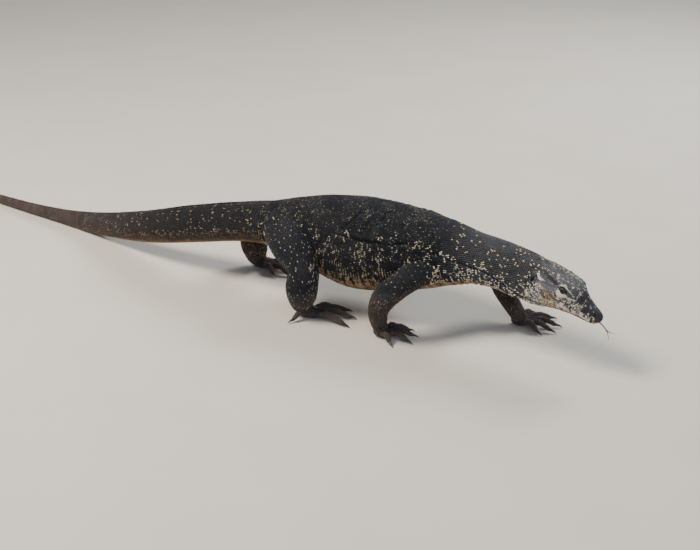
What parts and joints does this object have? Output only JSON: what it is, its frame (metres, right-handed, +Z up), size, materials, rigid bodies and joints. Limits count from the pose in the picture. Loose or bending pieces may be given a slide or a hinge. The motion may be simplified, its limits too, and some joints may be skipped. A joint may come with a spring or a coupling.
{
  "type": "water monitor lizard",
  "caption": "Life-size model of a walking water monitor lizard, head lowered with the forked tongue out, long tail laid on the floor behind.",
  "frame": {"origin": "middle of the bounding box, on the floor that the lizard stands on", "axes": "+X the way the lizard heads, +Y its left side, +Z up"},
  "size_m": [1.464, 0.263, 0.179],
  "materials": {
    "hide": "dry beaded scales, charcoal with rows of small cream spots, cream and ochre below",
    "claw": "dark horn, half gloss",
    "eye": "wet eye, red-brown iris and black pupil",
    "tongue": "moist, dark purple"
  },
  "bodies": {
    "root": {"eye_left": "eye", "eye_right": "eye", "front_left_claw_1": "claw", "front_left_claw_2": "claw", "front_left_claw_3": "claw", "front_left_claw_4": "claw", "front_left_claw_5": "claw", "front_left_forearm": "hide", "front_left_hand": "hide", "front_left_upper_arm": "hide", "front_right_claw_1": "claw", "front_right_claw_2": "claw", "front_right_claw_3": "claw", "front_right_claw_4": "claw", "front_right_claw_5": "claw", "front_right_forearm": "hide", "front_right_hand": "hide", "front_right_upper_arm": "hide", "head": "hide", "hind_left_claw_1": "claw", "hind_left_claw_2": "claw", "hind_left_claw_3": "claw", "hind_left_claw_4": "claw", "hind_left_claw_5": "claw", "hind_left_foot": "hide", "hind_left_shank": "hide", "hind_left_thigh": "hide", "hind_right_claw_1": "claw", "hind_right_claw_2": "claw", "hind_right_claw_3": "claw", "hind_right_claw_4": "claw", "hind_right_claw_5": "claw", "hind_right_foot": "hide", "hind_right_shank": "hide", "hind_right_thigh": "hide", "lower_jaw": "hide", "neck": "hide", "tail_base": "hide", "tail_end": "hide", "tail_middle": "hide", "tail_tip": "hide", "tongue": "tongue", "trunk": "hide"}
  },
  "joints": []
}
